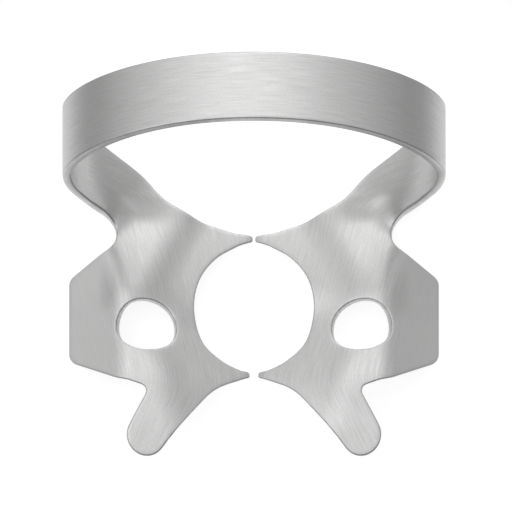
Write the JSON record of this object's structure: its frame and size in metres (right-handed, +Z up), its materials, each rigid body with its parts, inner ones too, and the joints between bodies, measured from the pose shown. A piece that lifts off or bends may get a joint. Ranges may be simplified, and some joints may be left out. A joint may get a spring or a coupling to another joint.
{
  "type": "rubber dam clamp",
  "caption": "Dental rubber dam clamp: a springy steel bow over two flat jaws with forceps holes, folded wings, front tabs and inward prongs round a tooth opening.",
  "frame": {"origin": "middle of the footprint's box, on the surface that the clamp lies on", "axes": "+Z up, +X to the right from one jaw to the other, and the tabs point to -Y, away from the bow"},
  "size_m": [0.027, 0.0272, 0.0151],
  "materials": {
    "satin_steel": "satin, finely brushed, with rounded stamped edges"
  },
  "bodies": {
    "root": {"dam_clamp": "satin_steel"}
  },
  "joints": []
}
